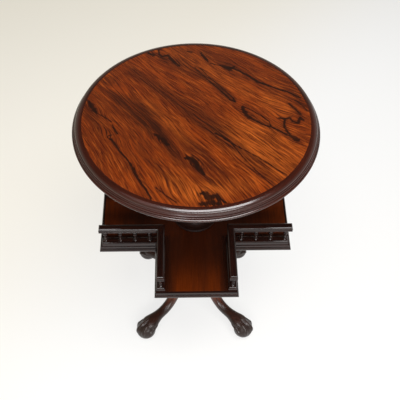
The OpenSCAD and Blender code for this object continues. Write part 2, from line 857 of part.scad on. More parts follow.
// Width along the leg: from the root to the ankle, to the palm's widest, and in again to its end.
// A higher power starts the change later
function eased(w0, w1, s0, s1, power) =
    [for (i = [0 : 7]) let (t = i / 8) [mix(s0, s1, t), mix(w0, w1, ease(pow(t, power)))]];
width_along = concat(
    eased(root_w, ankle_d, 0, 0.5, 1),
    eased(ankle_d, palm_w, 0.5, palm_widest, 2),
    [[palm_widest, palm_w], [1, palm_end_w]]
);

// Rounded square section: 1 in squareness is an ellipse, less is squarer
function bulge(v) = sign(v) * pow(abs(v), squareness);
leg_sides = 20;
leg_steps = 32;
leg_rings = [
    for (i = [0 : leg_steps]) let (
        s = i / leg_steps,
        over = outline_at(leg_over, s),
        under = outline_at(leg_under, s),
        middle = (over + under) / 2,
        half = (over - under) / 2
    ) [
        for (j = [0 : leg_sides - 1]) let (
            a = -360 * j / leg_sides,
            u = lookup(s, width_along) / 2 * bulge(cos(a)),
            v = bulge(sin(a))
        ) [middle[0] + half[0] * v, u, middle[1] + half[1] * v]
    ]
];

// Toes. Each is a curve about the middle of the ball that starts as a sinew on the wrist and, once
// past the palm, is drawn in or out to lie along the ball down to its talon
toe_bed = ball_r - toe_sink;
on_bed_from = 0.2;
on_bed_by = 0.45;
function toe_at(path, t) = let (
    q = curve_at(path, min(max(t, 0), 1)),
    share = ease(min(max((t - on_bed_from) / (on_bed_by - on_bed_from), 0), 1))
) mix(q, q * toe_bed / norm(q), share);

// Knuckles swell it twice before the talon
function toe_radius(s) = toe_r * lookup(s, [
    [0, 0.4], [0.2, 0.6], [0.42, 1], [0.56, 0.74], [0.7, 0.96], [0.82, 0.62], [1, 0.16]
]);
function toe_rings(path) = [
    for (i = [0 : toe_steps]) let (
        s = i / toe_steps,
        c = toe_at(path, s),
        along = toe_at(path, s + 0.02) - toe_at(path, s - 0.02),
        side = cross(along, c),
        across = side / norm(side),
        rise = cross(across, along),
        out = rise / norm(rise)
    ) [
        for (j = [0 : toe_sides - 1]) let (a = 360 * (j + 0.5) / toe_sides)
            c + toe_radius(s) * (cos(a) * across + sin(a) * out)
    ]
];
function other_side(path) = [for (q = path) [q[0], -q[1], q[2]]];

module leg(turn) {
    color(rosewood) rotate([0, 0, turn]) {
        difference() {
            union() {
                skin(leg_rings);
                dovetail();
                translate([leg_reach, 0, ball_z]) {
                    sphere(r = ball_r, $fn = 36);
                    for (path = [inner_toe, outer_toe]) {
                        skin(toe_rings(path));
                        skin(toe_rings(other_side(path)));
                    }
                    skin(toe_rings(heel_toe));
                }
            }
            translate([leg_reach - 2 * ball_r, -2 * ball_r, -ball_r]) cube([4 * ball_r, 4 * ball_r, ball_r]);
            translate([0, 0, root_low - plate_t]) ring_of(1, plate_screw_ring, 0)
                screw_hole(screw_r, plate_screw_l);
        }
    }
}

// Iron cross under the pedestal that keeps the dovetails from sliding out
module leg_plate() {
    color(iron) difference() {
        for (a = [45, 135]) {
            rotate([0, 0, a]) translate([-flat_r, -plate_arm_w / 2, root_low - plate_t])
                cube([2 * flat_r, plate_arm_w, plate_t]);
        }
        translate([0, 0, root_low - plate_t]) ring_of(4, plate_screw_ring, 45)
            screw_hole(screw_r, plate_screw_l);
    }
}

module leg_plate_screws() {
    color(iron) translate([0, 0, root_low - plate_t]) ring_of(4, plate_screw_ring, 45)
        screw(screw_r, plate_screw_l);
}

pedestal();
leg(225);  // leg_front_left
leg(315);  // leg_front_right
leg(45);  // leg_back_right
leg(135);  // leg_back_left
leg_plate();
leg_plate_screws();
pivot_pin();
bearing_lower();
bearing_lower_screws();
pivot_washer();
pivot_nut();
bearing_upper();
bearing_upper_screws();
hub_boss();
hub_screws();
pivot_bush();
undertier();
end_nosing(0);  // nosing_right
end_nosing(1);  // nosing_back
end_nosing(2);  // nosing_left
end_nosing(3);  // nosing_front
side_moulding(0, 1);  // moulding_right_back
side_moulding(0, -1);  // moulding_right_front
side_moulding(1, 1);  // moulding_back_left
side_moulding(1, -1);  // moulding_back_right
side_moulding(2, 1);  // moulding_left_front
side_moulding(2, -1);  // moulding_left_back
side_moulding(3, 1);  // moulding_front_right
side_moulding(3, -1);  // moulding_front_left
spindles(0, 1);  // spindles_right_back
spindles(0, -1);  // spindles_right_front
spindles(1, 1);  // spindles_back_left
spindles(1, -1);  // spindles_back_right
spindles(2, 1);  // spindles_left_front
spindles(2, -1);  // spindles_left_back
spindles(3, 1);  // spindles_front_right
spindles(3, -1);  // spindles_front_left
top_rail(0, 1);  // rail_right_back
top_rail(0, -1);  // rail_right_front
top_rail(1, 1);  // rail_back_left
top_rail(1, -1);  // rail_back_right
top_rail(2, 1);  // rail_left_front
top_rail(2, -1);  // rail_left_back
top_rail(3, 1);  // rail_front_right
top_rail(3, -1);  // rail_front_left
column();
column_screws();
top_block();
top_screws();
tabletop_panel();
tabletop_moulding();
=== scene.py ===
import json
import math
import bmesh
import bpy
import numpy as np
from mathutils import Matrix, Vector


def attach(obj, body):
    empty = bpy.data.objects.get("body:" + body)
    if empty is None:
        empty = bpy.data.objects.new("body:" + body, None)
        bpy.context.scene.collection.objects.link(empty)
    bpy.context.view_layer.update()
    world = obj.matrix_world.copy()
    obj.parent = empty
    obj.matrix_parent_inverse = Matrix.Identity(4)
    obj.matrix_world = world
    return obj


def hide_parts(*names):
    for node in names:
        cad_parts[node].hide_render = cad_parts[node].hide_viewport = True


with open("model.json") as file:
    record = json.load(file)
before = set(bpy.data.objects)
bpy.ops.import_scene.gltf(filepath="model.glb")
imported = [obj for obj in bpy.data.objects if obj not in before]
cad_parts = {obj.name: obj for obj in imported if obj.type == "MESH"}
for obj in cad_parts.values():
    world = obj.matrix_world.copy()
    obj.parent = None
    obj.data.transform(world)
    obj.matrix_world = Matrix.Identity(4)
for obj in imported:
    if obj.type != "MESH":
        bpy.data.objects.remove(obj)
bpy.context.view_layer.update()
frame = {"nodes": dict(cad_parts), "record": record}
nodes = frame["nodes"]
print("frame loaded:", len(nodes), "nodes")

# Camera, as the table was photographed: close above its front, a little to the right of the cross's own front
cameraSet = {
    "tiltDown": 50.08,      # degrees below the horizon
    "roll": 1.31,           # degrees
    "turn": 2.34,           # degrees from the front of the cross
    "beside": 0.0131,       # m to the right of the pivot
    "distance": 2.0629,     # m to the aimed point
    "aimHeight": 0.4594,    # m
    "focalPixels": 760.6,
    "pictureWidth": 400,    # pixels
    "sensorWidth": 36,      # mm
}


def makeCamera(s):
    tilt, roll = math.radians(s["tiltDown"]), math.radians(s["roll"])
    right = Vector((1, 0, 0))
    up = Vector((0, math.sin(tilt), math.cos(tilt)))
    ahead = Vector((0, math.cos(tilt), -math.sin(tilt)))
    rolledRight = math.cos(roll) * right + math.sin(roll) * up
    rolledUp = math.cos(roll) * up - math.sin(roll) * right
    place = Vector((s["beside"], 0, s["aimHeight"])) - s["distance"] * ahead
    turn = Matrix.Rotation(math.radians(-s["turn"]), 4, "Z")
    axes = Matrix((rolledRight, rolledUp, -ahead)).transposed().to_4x4()
    camera = bpy.data.objects.new("camera", bpy.data.cameras.new("camera"))
    camera.matrix_world = turn @ (Matrix.Translation(place) @ axes)
    camera.data.sensor_width = s["sensorWidth"]
    camera.data.lens = s["sensorWidth"] * s["focalPixels"] / s["pictureWidth"]
    bpy.context.scene.collection.objects.link(camera)
    bpy.context.scene.camera = camera


makeCamera(cameraSet)
print("camera made")


# Materials. Hex values are sRGB, and the shader wants them linear
def linear(hexColour):
    parts = [int(hexColour[i:i + 2], 16) / 255 for i in (1, 3, 5)]
    return tuple(c / 12.92 if c <= 0.04045 else ((c + 0.055) / 1.055) ** 2.4 for c in parts) + (1.0,)


# Adds a node with its settings; links go from (node, output) to an input by name or number
def addNode(material, kind, settings=None, links=None):
    tree = material.node_tree
    node = tree.nodes.new("ShaderNode" + kind)
    for name, value in (settings or {}).items():
        if isinstance(name, int) or name in node.inputs:
            node.inputs[name].default_value = value
        else:
            setattr(node, name, value)
    for name, (source, output) in (links or {}).items():
        tree.links.new(source.outputs[output], node.inputs[name])
    return node


def newMaterial(name):
    material = bpy.data.materials.new(name)
    material.use_nodes = True
    material.node_tree.nodes.clear()
    return material


perMetre = (1000, 1000, 1000)    # mm
soft = {"interpolation_type": "SMOOTHSTEP"}
rimMiddle = 0.29                 # m from the pivot to the middle of the top's moulding
legSlope = 38                    # degrees that the legs' grain runs down by
grainTurns = {"x": (0, 0, 0), "y": (0, 0, math.pi / 2), "upright": (0, math.pi / 2, 0)}


# Places in millimetres along, across and through the grain. "lie" says which way the grain runs:
# upright, along x or y, round the rim, or out along each leg
def grainPlaces(m, lie):
    place = addNode(m, "TexCoord")
    if lie in grainTurns:
        turned = {"Rotation": grainTurns[lie], "Scale": perMetre}
        return addNode(m, "Mapping", turned, {"Vector": (place, "Object")}), "Vector"
    parts = addNode(m, "SeparateXYZ", links={"Vector": (place, "Object")})
    if lie == "round":
        # The angle from the front times the rim's radius goes along, and the distance from the pivot across
        flat = addNode(m, "CombineXYZ", links={"X": (parts, "X"), "Y": (parts, "Y")})
        away = addNode(m, "VectorMath", {"operation": "LENGTH"}, {0: (flat, 0)})
        front = addNode(m, "Math", {"operation": "MULTIPLY", 1: -1}, {0: (parts, "Y")})
        angle = addNode(m, "Math", {"operation": "ARCTAN2"}, {0: (parts, "X"), 1: (front, 0)})
        along = addNode(m, "Math", {"operation": "MULTIPLY", 1: rimMiddle}, {0: (angle, 0)})
        wrapped = addNode(m, "CombineXYZ", links={"X": (along, 0), "Y": (away, "Value"), "Z": (parts, "Z")})
        return addNode(m, "Mapping", {"Scale": perMetre}, {"Vector": (wrapped, 0)}), "Vector"
    # Legs: fold the four diagonals onto one, then lay the grain down the slope of the leg
    farX = addNode(m, "Math", {"operation": "ABSOLUTE"}, {0: (parts, "X")})
    farY = addNode(m, "Math", {"operation": "ABSOLUTE"}, {0: (parts, "Y")})
    folded = addNode(m, "CombineXYZ", links={"X": (farX, 0), "Y": (farY, 0), "Z": (parts, "Z")})
    plan = addNode(m, "Mapping", {"Rotation": (0, 0, -math.pi / 4)}, {"Vector": (folded, 0)})
    sloping = {"Rotation": (0, -math.radians(legSlope), 0), "Scale": perMetre}
    return addNode(m, "Mapping", sloping, {"Vector": (plan, 0)}), "Vector"


poreDepth = 0.0002                # m
polishFrom, polishTo = 0.8, 1.3   # the polish is this much smoother and duller from place to place
bandFrom, bandTo = 0.36, 0.66     # noise at which a dark band starts, and at which it is full
streakFrom, streakTo = 0.35, 0.68
streakLength = 3                  # a fine streak's stretch against a band's


# Polished rosewood: dark bands and fine streaks that run with the grain under a clear glossy polish
def makeRosewood(name, s, lie):
    m = newMaterial(name)
    grain = grainPlaces(m, lie)
    # One noise cell is bandWidth wide across the grain and stretched along it
    wide, fine = 1 / s["bandWidth"], 1 / s["streakWidth"]
    bandPlace = addNode(m, "Mapping", {"Scale": (wide / s["stretch"], wide, wide)}, {"Vector": grain})
    finePlace = addNode(m, "Mapping", {"Scale": (fine / (streakLength * s["stretch"]), fine, fine)},
                        {"Vector": grain})
    bands = addNode(m, "TexNoise", {"Scale": 1.0, "Detail": 3.0, "Roughness": 0.55, "Distortion": s["waver"]},
                    {"Vector": (bandPlace, 0)})
    streaks = addNode(m, "TexNoise", {"Scale": 1.0, "Detail": 4.0, "Roughness": 0.65, "Distortion": 0.3},
                      {"Vector": (finePlace, 0)})
    bandShare = addNode(m, "MapRange", {"From Min": bandFrom, "From Max": bandTo, **soft},
                        {"Value": (bands, 0)})
    streakShare = addNode(m, "MapRange", {"From Min": streakFrom, "From Max": streakTo},
                          {"Value": (streaks, 0)})
    ground = addNode(m, "Mix", {"data_type": "RGBA", 6: linear(s["light"]), 7: linear(s["deep"])},
                     {0: (streakShare, 0)})
    shade = addNode(m, "Math", {"operation": "MULTIPLY", 1: s["bandDepth"]}, {0: (bandShare, 0)})
    banded = addNode(m, "Mix", {"data_type": "RGBA", 7: linear(s["band"])}, {0: (shade, 0), 6: (ground, 2)})
    smoother, duller = s["roughness"] * polishFrom, s["roughness"] * polishTo
    polish = addNode(m, "MapRange", {"To Min": smoother, "To Max": duller}, {"Value": (bands, 0)})
    colour, rough = (banded, 2), (polish, 0)
    # Painted shade on the board, along its galleries and round the column
    if "galleryShadeFrom" in s:
        colour = addPaintedShade(m, s, colour)
    if "footDark" in s:
        colour, rough = addFootShade(m, s, colour, rough)
    # Open pores and brush marks that the polish has not quite filled
    height = addNode(m, "Bump", {"Strength": s["relief"], "Distance": poreDepth}, {"Height": (streaks, 0)})
    shader = addNode(m, "BsdfPrincipled", {"IOR": s["ior"], "Specular IOR Level": s["gloss"]},
                     {"Base Color": colour, "Roughness": rough, "Normal": (height, 0)})
    addNode(m, "OutputMaterial", links={"Surface": (shader, "BSDF")})
    return m


# Rosewood veneer. Over the grain attribute lie pale patches, which are partly paler wood and partly painted
# light on the front right, a slow change of tone, a mottle, streaks, a painted sheen and pores, then the drawn
# bands and black figure, whose edges a stretched noise tears along the grain
def makeVeneer(name, s):
    m = newMaterial(name)
    place = addNode(m, "Attribute", {"attribute_name": "grain"})
    # The grain wanders: a slow and a quick noise shift it sideways
    grain = (place, "Vector")
    for long, wide, reach in s["wanders"]:
        slow = addNode(m, "Mapping", {"Scale": (1 / long, 1 / wide, 0)}, {"Vector": (place, "Vector")})
        wander = addNode(m, "TexNoise", {"Scale": 1.0, "Detail": 2.0}, {"Vector": (slow, 0)})
        sideways = addNode(m, "MapRange", {"To Min": -reach, "To Max": reach}, {"Value": (wander, 0)})
        shift = addNode(m, "CombineXYZ", links={"Y": (sideways, 0)})
        grain = addNode(m, "VectorMath", {"operation": "ADD"}, {0: grain, 1: (shift, 0)}), 0
    # Glow lifts the ground towards pale: paler wood, and painted light on the front right
    glow = addNode(m, "Attribute", {"attribute_name": "glow"})
    colour = addNode(m, "Mix", {"data_type": "RGBA", 6: linear(s["ground"]), 7: linear(s["pale"])},
                     {0: (glow, "Fac")}), 2
    noises = {}
    for layer in ("tone", "mottle", "streak", "sheen", "pore"):
        long, wide, low, high, depth, shade = s[layer]
        stretched = addNode(m, "Mapping", {"Scale": (1 / long, 1 / wide, s["throughScale"])},
                            {"Vector": grain})
        noise = addNode(m, "TexNoise", {"Scale": 1.0, "Detail": 3.0, "Roughness": 0.6},
                        {"Vector": (stretched, 0)})
        share = addNode(m, "MapRange", {"From Min": low, "From Max": high, "To Max": depth, **soft},
                        {"Value": (noise, 0)})
        colour = addNode(m, "Mix", {"data_type": "RGBA", 7: linear(shade)}, {0: (share, 0), 6: colour}), 2
        noises[layer] = noise
    band = addNode(m, "Attribute", {"attribute_name": "bandShade"})
    bandTorn = addNode(m, "MapRange", {"From Min": s["tornFrom"], "From Max": s["tornTo"],
                                       "To Min": s["bandTorn"], "To Max": s["bandWhole"]},
                       {"Value": (noises["streak"], 0)})
    bandShare = addNode(m, "Math", {"operation": "MULTIPLY", "use_clamp": True},
                        {0: (band, "Fac"), 1: (bandTorn, 0)})
    colour = addNode(m, "Mix", {"data_type": "RGBA", 7: linear(s["band"])}, {0: (bandShare, 0), 6: colour}), 2
    line = addNode(m, "Attribute", {"attribute_name": "figure"})
    torn = addNode(m, "Mapping", {"Scale": (1 / s["tearLong"], 1 / s["tearWide"], s["throughScale"])},
                   {"Vector": grain})
    tear = addNode(m, "TexNoise", {"Scale": 1.0, "Detail": 4.0, "Roughness": 0.65}, {"Vector": (torn, 0)})
    tearShift = addNode(m, "MapRange", {"To Min": -s["tear"], "To Max": s["tear"]}, {"Value": (tear, 0)})
    edge = addNode(m, "Math", {"operation": "ADD"}, {0: (line, "Fac"), 1: (tearShift, 0)})
    black = addNode(m, "MapRange", {"From Min": s["lineFrom"], "From Max": s["lineTo"],
                                    "To Max": s["lineDepth"], **soft}, {"Value": (edge, 0)})
    colour = addNode(m, "Mix", {"data_type": "RGBA", 7: linear(s["line"])}, {0: (black, 0), 6: colour}), 2
    height = addNode(m, "Bump", {"Strength": s["relief"], "Distance": poreDepth},
                     {"Height": (noises["pore"], 0)})
    smoother, duller = s["roughness"] * polishFrom, s["roughness"] * polishTo
    rough = addNode(m, "MapRange", {"To Min": smoother, "To Max": duller}, {"Value": (noises["streak"], 0)})
    shader = addNode(m, "BsdfPrincipled", {"IOR": s["ior"]},
                     {"Base Color": colour, "Roughness": (rough, 0), "Normal": (height, 0)})
    addNode(m, "OutputMaterial", links={"Surface": (shader, "BSDF")})
    return m


# Painted shade: the board is drawn darker along its galleries, where the rails shade it, and round the column,
# under the shadow of the top. Its share grows with the smaller of |x| and |y|, and towards the column
def addPaintedShade(m, s, colour):
    place = addNode(m, "TexCoord")
    parts = addNode(m, "SeparateXYZ", links={"Vector": (place, "Object")})
    farX = addNode(m, "Math", {"operation": "ABSOLUTE"}, {0: (parts, "X")})
    farY = addNode(m, "Math", {"operation": "ABSOLUTE"}, {0: (parts, "Y")})
    least = addNode(m, "Math", {"operation": "MINIMUM"}, {0: (farX, 0), 1: (farY, 0)})
    edge = addNode(m, "MapRange", {"From Min": s["galleryShadeFrom"], "From Max": s["galleryShadeTo"],
                                   "To Max": s["galleryShadeDepth"], **soft}, {"Value": (least, 0)})
    away = addNode(m, "VectorMath", {"operation": "LENGTH"}, {0: (place, "Object")})
    deep = addNode(m, "MapRange", {"From Min": s["innerFrom"], "From Max": s["innerTo"],
                                   "To Min": s["innerShare"], "To Max": 0.0, **soft},
                   {"Value": (away, "Value")})
    share = addNode(m, "Math", {"operation": "MAXIMUM"}, {0: (edge, 0), 1: (deep, 0)})
    return addNode(m, "Mix", {"data_type": "RGBA", 7: linear(s["band"])}, {0: (share, 0), 6: colour}), 2


# Old polish and dirt lie darker and duller on the carved foot than on the knee: their share grows as the
# height falls from footFrom to footTo
def addFootShade(m, s, colour, rough):
    place = addNode(m, "TexCoord")
    parts = addNode(m, "SeparateXYZ", links={"Vector": (place, "Object")})
    low = addNode(m, "MapRange", {"From Min": s["footFrom"], "From Max": s["footTo"],
                                  "To Min": 0.0, "To Max": s["footShare"], **soft}, {"Value": (parts, "Z")})
    dark = addNode(m, "Mix", {"data_type": "RGBA", 7: linear(s["footDark"])}, {0: (low, 0), 6: colour})
    dull = addNode(m, "Math", {"operation": "MULTIPLY", 1: s["footDull"]}, {0: (low, 0)})
    duller = addNode(m, "Math", {"operation": "ADD"}, {0: rough, 1: (dull, 0)})
    return (dark, 2), (duller, 0)


# Widths and lengths of the wood's pattern are in mm, and places in m. All the wood is rosewood under French
# polish: shellac's IOR is about 1.52, and its roughness lies between 0.1 when new and 0.45 when worn. Real
# pores are 0.3 mm wide, too fine to show at this size, so they are drawn 1.4 to 3 mm wide

# Tabletop: figured veneer. It gives the eye a warm orange-brown with slow light and dark zones, fine dark
# streaks that flow round knots, and black ragged lines, under a calm polish.
# Each layer is (length, width, noise from, noise to, depth, colour)
veneerSet = {
    "ground": "#7b320d", "pale": "#bb5e20",
    "tone": (300, 42, 0.40, 0.64, 0.66, "#54200b"),
    "mottle": (34, 13, 0.38, 0.70, 0.4, "#55200c"),
    "streak": (90, 3.2, 0.42, 0.64, 0.65, "#451809"),
    # The sheen layer's pale streaks are a painted sheen along the grain
    "sheen": (52, 3.2, 0.50, 0.72, 0.55, "#b6591f"),
    "pore": (46, 1.4, 0.46, 0.64, 0.85, "#2d1007"),
    "wanders": [(240, 110, 16), (110, 36, 4.5)],    # (length, width, reach)
    "throughScale": 0.01,    # noise cells for each mm down
    "band": "#2c1209", "bandTorn": 0.5, "bandWhole": 1.2, "tornFrom": 0.3, "tornTo": 0.65,
    "line": "#150a07", "tearLong": 14, "tearWide": 2.6, "tear": 0.75,
    "lineFrom": 0.37, "lineTo": 0.76, "lineDepth": 0.85,
    "relief": 0.03, "roughness": 0.16, "ior": 1.52,
}
# Undertier: plainer board, redder and deeper, with painted shade where the galleries and the top shade it. The
# gallery shade is measured from an arm's middle line, and the inner shade from the origin on the floor
boardSet = {
    "light": "#5c2406", "deep": "#481a04", "band": "#281007", "bandDepth": 0.4,
    "bandWidth": 20, "streakWidth": 2.2, "stretch": 8, "waver": 1.2,
    "relief": 0.02, "roughness": 0.2, "ior": 1.52, "gloss": 0.35,
    # The board's band colour is painted in as shade along the galleries and towards the column
    "galleryShadeFrom": 0.05, "galleryShadeTo": 0.076, "galleryShadeDepth": 0.95,
    "innerFrom": 0.41, "innerTo": 0.46, "innerShare": 0.65,
}
# Mouldings, rails and spindles: near black with a red-brown undertone, read mostly by narrow highlights
darkSet = {
    "light": "#2a130d", "deep": "#1d0d09", "band": "#120807", "bandDepth": 0.7,
    "bandWidth": 9, "streakWidth": 2.4, "stretch": 12, "waver": 0.3,
    "relief": 0.01, "roughness": 0.13, "ior": 1.52, "gloss": 0.38,
}
# Moulded rim of the top: red-brown that shows in the light, with soft bright lines along each round
rimSet = {
    "light": "#38150c", "deep": "#2b1009", "band": "#1d0b07", "bandDepth": 0.5,
    "bandWidth": 9, "streakWidth": 3, "stretch": 14, "waver": 0.1,
    "relief": 0.01, "roughness": 0.15, "ior": 1.52, "gloss": 0.6,
}
# Column in the top's shadow: a little darker than the other dark wood, as painted shade, and dull, for
# handling has worn its polish
columnSet = {
    "light": "#27110b", "deep": "#1b0c08", "band": "#120807", "bandDepth": 0.7,
    "bandWidth": 9, "streakWidth": 2.4, "stretch": 12, "waver": 0.3,
    "relief": 0.01, "roughness": 0.45, "ior": 1.52, "gloss": 0.15,
}
# Legs: red-brown knees with long streaks of light, and feet gone dark with old polish in the carving
carvedSet = {
    "light": "#733820", "deep": "#522412", "band": "#32160c", "bandDepth": 0.6,
    "bandWidth": 9, "streakWidth": 2.4, "stretch": 10, "waver": 0.3,
    "relief": 0.008, "roughness": 0.19, "ior": 1.52, "gloss": 0.45,
    "footDark": "#1a110d", "footFrom": 0.1, "footTo": 0.05, "footShare": 0.92, "footDull": 0.18,
}
print("wood settings read")


waveLength = 2 * math.pi / 20     # of a wave texture at scale 1


# Turned metal, hidden but for its edges: fine rings about the pivot, which catch light as a soft fan, with
# dull patches of tarnish. Steel is grey, brass yellow-brown and the iron almost black
def makeTurnedMetal(name, s):
    m = newMaterial(name)
    place = addNode(m, "TexCoord")
    scaled = addNode(m, "Mapping", {"Scale": perMetre}, {"Vector": (place, "Object")})
    turning = {"wave_type": "RINGS", "rings_direction": "Z", "Scale": waveLength / s["ringWidth"],
               "Distortion": 1.5, "Detail": 2.0}
    rings = addNode(m, "TexWave", turning, {"Vector": (scaled, 0)})
    stain = addNode(m, "TexNoise", {"Scale": 1 / s["stainSize"], "Detail": 4.0, "Roughness": 0.6},
                    {"Vector": (scaled, 0)})
    share = addNode(m, "MapRange", {"From Min": s["stainFrom"], "From Max": s["stainTo"]},
                    {"Value": (stain, 0)})
    colour = addNode(m, "Mix", {"data_type": "RGBA", 6: linear(s["clean"]), 7: linear(s["stained"])},
                     {0: (share, 0)})
    rough = addNode(m, "MapRange", {"To Min": s["roughness"], "To Max": s["roughness"] + s["dulled"]},
                    {"Value": (stain, 0)})
    bump = addNode(m, "Bump", {"Strength": s["relief"], "Distance": s["ringDepth"]}, {"Height": (rings, 1)})
    shader = addNode(m, "BsdfPrincipled", {"Metallic": 1.0},
                     {"Base Color": (colour, 2), "Roughness": (rough, 0), "Normal": (bump, 0)})
    addNode(m, "OutputMaterial", links={"Surface": (shader, "BSDF")})
    return m


# Sizes and widths in mm, depths in m
steelSet = {
    "clean": "#a4a4a2", "stained": "#6e6a66", "stainSize": 9, "stainFrom": 0.4, "stainTo": 0.7,
    "ringWidth": 0.419, "ringDepth": 0.0001, "relief": 0.15, "roughness": 0.3, "dulled": 0.2,
}
brassSet = {
    "clean": "#b8934c", "stained": "#6e5630", "stainSize": 8, "stainFrom": 0.4, "stainTo": 0.7,
    "ringWidth": 0.419, "ringDepth": 0.0001, "relief": 0.12, "roughness": 0.3, "dulled": 0.2,
}
ironSet = {
    "clean": "#4a4744", "stained": "#33261f", "stainSize": 3, "stainFrom": 0.4, "stainTo": 0.7,
    "ringWidth": 1.571, "ringDepth": 0.0001, "relief": 0.5, "roughness": 0.5, "dulled": 0.2,
}

woodAlongX = makeRosewood("polishedDarkRosewoodAlongX", darkSet, "x")
woodAlongY = makeRosewood("polishedDarkRosewoodAlongY", darkSet, "y")
woodUpright = makeRosewood("turnedDarkRosewood", darkSet, "upright")
rimWood = makeRosewood("mouldedPolishedRosewood", rimSet, "round")
columnWood = makeRosewood("turnedDullRosewood", columnSet, "upright")
topVeneer = makeVeneer("frenchPolishedRosewoodVeneer", veneerSet)
boardWood = makeRosewood("frenchPolishedRosewoodBoard", boardSet, "y")
legWood = makeRosewood("carvedPolishedRosewood", carvedSet, "legs")
finishOf = {
    "tier_rosewood": boardWood, "leg_rosewood": legWood, "dark_rosewood": woodUpright,
    "steel": makeTurnedMetal("turnedSteel", steelSet), "iron": makeTurnedMetal("blackenedIron", ironSet),
    "brass": makeTurnedMetal("turnedAgedBrass", brassSet),
}
slotOf = {part["node"]: part["material_slot"] for part in frame["record"]["subparts"]}


# Rails and mouldings take the finish whose grain runs their way
def finishFor(name):
    if name.startswith(("rail_", "moulding_")):
        return woodAlongX if name.split("_")[1] in ("left", "right") else woodAlongY
    if name.startswith("nosing_"):
        return woodAlongY if name.endswith(("left", "right")) else woodAlongX
    if name == "top_block":
        return woodAlongX
    if name == "tabletop_moulding":
        return rimWood
    if name == "column":
        return columnWood
    return finishOf.get(slotOf[name], topVeneer)


for nodeName, nodeObject in nodes.items():
    nodeObject.data.materials.clear()
    nodeObject.data.materials.append(finishFor(nodeName))
print("materials made")


# New pieces are meshes in metres, given as whole arrays in millimetres
def makePiece(name, points, faces, material):
    mesh = bpy.data.meshes.new(name)
    mesh.from_pydata((points / 1000).tolist(), [], faces)
    mesh.update()
    mesh.materials.append(material)
    piece = bpy.data.objects.new(name, mesh)
    bpy.context.scene.collection.objects.link(piece)
    return piece


# Quads of a grid of rows by columns, closed round each row where ring is true
def gridFaces(rows, columns, ring=False, start=0):
    i = np.arange(rows - 1)[:, None] * columns
    j = np.arange(columns if ring else columns - 1)[None, :]
    k = (j + 1) % columns
    return (start + np.stack([i + j, i + k, i + columns + k, i + columns + j], -1)).reshape(-1, 4).tolist()
